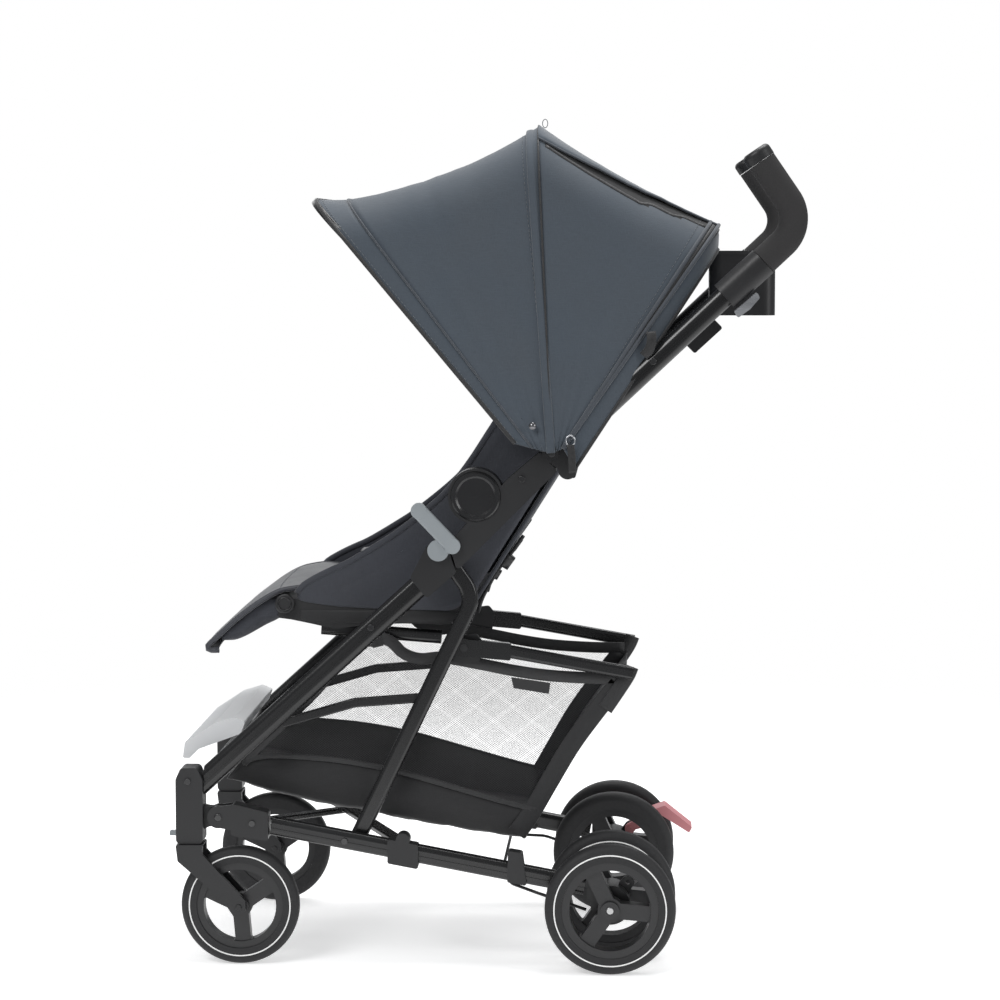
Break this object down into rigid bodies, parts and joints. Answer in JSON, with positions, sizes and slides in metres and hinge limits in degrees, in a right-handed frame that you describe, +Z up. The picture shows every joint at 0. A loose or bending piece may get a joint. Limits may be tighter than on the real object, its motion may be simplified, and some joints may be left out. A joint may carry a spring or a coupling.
{
  "type": "umbrella stroller",
  "caption": "Folding umbrella stroller with twin rear wheels, swivel front wheels, reclining fabric seat, fan canopy and mesh basket.",
  "frame": {"origin": "on the floor, midway along and across the stroller", "axes": "+Z up, +X to the rear towards the handles, +Y to the stroller's right"},
  "size_m": [0.8035, 0.479, 1.0627],
  "materials": {
    "frame_tube": "satin",
    "plastic": "matte",
    "gloss_black": "gloss",
    "foam": "matte",
    "grey_plastic": "satin",
    "white_plastic": "satin",
    "silver": "satin",
    "bolt_steel": "gloss",
    "axle_steel": "satin",
    "tyre": "matte",
    "rim": "satin",
    "hood_fabric": "matte",
    "seat_fabric": "matte",
    "basket_fabric": "matte",
    "cable_sheath": "matte",
    "red_plastic": "matte"
  },
  "bodies": {
    "frame": {"front_leg_left": "frame_tube", "front_leg_right": "frame_tube", "leg_caps": "plastic", "side_housing_left": "plastic", "side_housing_right": "plastic", "hub_covers": "gloss_black", "push_tube_left": "frame_tube", "push_tube_right": "frame_tube", "handle_collars": "plastic", "handle_grips": "foam", "grip_caps": "plastic", "canopy_clips": "plastic", "caster_housings": "plastic", "foot_bar": "frame_tube", "footrest": "white_plastic", "seat_rails": "frame_tube", "seat_base": "seat_fabric", "side_panels": "seat_fabric", "side_braces": "frame_tube", "cup_holder": "plastic", "cup_bracket": "plastic", "canopy_rear_bow": "frame_tube", "canopy_rear_gore": "hood_fabric", "frame_pins": "bolt_steel", "harness_buckle": "plastic"},
    "lower_frame": {"rails": "frame_tube", "rail_sleeves": "plastic", "rail_collars": "plastic", "rear_clips": "plastic", "cross_braces": "frame_tube", "rear_housings": "plastic", "rear_axles": "axle_steel", "basket": "basket_fabric", "brake_cable": "cable_sheath", "rail_pins": "bolt_steel"},
    "strut_pair": {"struts": "frame_tube", "arm_knuckles": "plastic"},
    "arm_pair": {"basket_arms": "frame_tube"},
    "rear_wheels_left": {"rear_rims_left": "rim", "rear_tyres_left": "tyre"},
    "rear_wheels_right": {"rear_rims_right": "rim", "rear_tyres_right": "tyre"},
    "caster_left": {"caster_fork_left": "plastic"},
    "caster_right": {"caster_fork_right": "plastic"},
    "front_wheel_left": {"front_rim_left": "rim", "front_tyre_left": "tyre"},
    "front_wheel_right": {"front_rim_right": "rim", "front_tyre_right": "tyre"},
    "pedal": {"brake_pedal": "red_plastic"},
    "back": {"backrest": "seat_fabric"},
    "calf_board": {"calf_rest": "seat_fabric", "calf_buttons": "plastic"},
    "hood_middle": {"canopy_middle_bow": "frame_tube"},
    "hood_front": {"canopy_front_bow": "frame_tube", "canopy_front_gore": "hood_fabric"},
    "lever_left": {"handle_lever_left": "silver"},
    "lever_right": {"handle_lever_right": "silver"},
    "lock_left": {"swivel_lock_left": "grey_plastic"},
    "lock_right": {"swivel_lock_right": "grey_plastic"},
    "latch": {"fold_latch": "grey_plastic"}
  },
  "joints": [
    {"name": "frame_fold", "type": "hinge", "parent": "frame", "child": "lower_frame", "pos_m": [-0.34, 0, 0.1893], "axis": [0, -1, 0], "range_deg": [0, 36], "deforming": ["basket"]},
    {"name": "strut_swing", "type": "hinge", "parent": "lower_frame", "child": "strut_pair", "pos_m": [-0.166, 0, 0.1573], "axis": [0, -1, 0], "range_deg": [-43.2, 0]},
    {"name": "arm_swing", "type": "hinge", "parent": "strut_pair", "child": "arm_pair", "pos_m": [-0.03, 0, 0.403], "axis": [0, -1, 0], "range_deg": [0, 55.8]},
    {"name": "rear_spin_left", "type": "hinge", "parent": "lower_frame", "child": "rear_wheels_left", "pos_m": [0.158, -0.18, 0.0825], "axis": [0, 1, 0], "continuous": true},
    {"name": "rear_spin_right", "type": "hinge", "parent": "lower_frame", "child": "rear_wheels_right", "pos_m": [0.158, 0.18, 0.0825], "axis": [0, 1, 0], "continuous": true},
    {"name": "caster_swivel_left", "type": "hinge", "parent": "frame", "child": "caster_left", "pos_m": [-0.376, -0.1875, 0.12], "axis": [0, 0, 1], "continuous": true},
    {"name": "caster_swivel_right", "type": "hinge", "parent": "frame", "child": "caster_right", "pos_m": [-0.376, 0.1875, 0.12], "axis": [0, 0, 1], "continuous": true},
    {"name": "front_spin_left", "type": "hinge", "parent": "caster_left", "child": "front_wheel_left", "pos_m": [-0.3135, -0.1875, 0.0755], "axis": [0, 1, 0], "continuous": true},
    {"name": "front_spin_right", "type": "hinge", "parent": "caster_right", "child": "front_wheel_right", "pos_m": [-0.3135, 0.1875, 0.0755], "axis": [0, 1, 0], "continuous": true},
    {"name": "brake_press", "type": "hinge", "parent": "lower_frame", "child": "pedal", "pos_m": [0.18, 0.18, 0.108], "axis": [0, 1, 0], "range_deg": [0, 10]},
    {"name": "back_recline", "type": "hinge", "parent": "frame", "child": "back", "pos_m": [-0.009, 0, 0.477], "axis": [0, -1, 0], "range_deg": [-30, 15]},
    {"name": "calf_lift", "type": "hinge", "parent": "frame", "child": "calf_board", "pos_m": [-0.257, 0, 0.455], "axis": [0, 1, 0], "range_deg": [-30, 28]},
    {"name": "hood_fold", "type": "hinge", "parent": "frame", "child": "hood_middle", "pos_m": [0.084, 0, 0.655], "axis": [0, 1, 0], "range_deg": [0, 33], "deforming": ["canopy_front_gore", "canopy_rear_gore"]},
    {"name": "hood_front_fold", "type": "hinge", "parent": "hood_middle", "child": "hood_front", "pos_m": [0.084, 0, 0.655], "axis": [0, 1, 0], "range_deg": [0, 33]},
    {"name": "lever_squeeze_left", "type": "hinge", "parent": "frame", "child": "lever_left", "pos_m": [0.336, -0.19, 0.851], "axis": [0, -1, 0], "range_deg": [-3, 0], "stiffness_Nm_per_rad": 1.5, "springref_deg": 2.86},
    {"name": "lever_squeeze_right", "type": "hinge", "parent": "frame", "child": "lever_right", "pos_m": [0.336, 0.19, 0.851], "axis": [0, -1, 0], "range_deg": [-3, 0], "stiffness_Nm_per_rad": 1.5, "springref_deg": 2.86},
    {"name": "swivel_lock_left_slide", "type": "slide", "parent": "frame", "child": "lock_left", "axis": [0, 0, 1], "range_m": [0, 0.009]},
    {"name": "swivel_lock_right_slide", "type": "slide", "parent": "frame", "child": "lock_right", "axis": [0, 0, 1], "range_m": [0, 0.009]},
    {"name": "latch_turn", "type": "hinge", "parent": "frame", "child": "latch", "pos_m": [-0.059, -0.21, 0.532], "axis": [0, -1, 0], "range_deg": [0, 60]}
  ],
  "couplings": [
    {"joint": "strut_swing", "follows": "frame_fold", "ratio": -1.2},
    {"joint": "arm_swing", "follows": "frame_fold", "ratio": 1.55},
    {"joint": "hood_front_fold", "follows": "hood_fold", "ratio": 1}
  ]
}
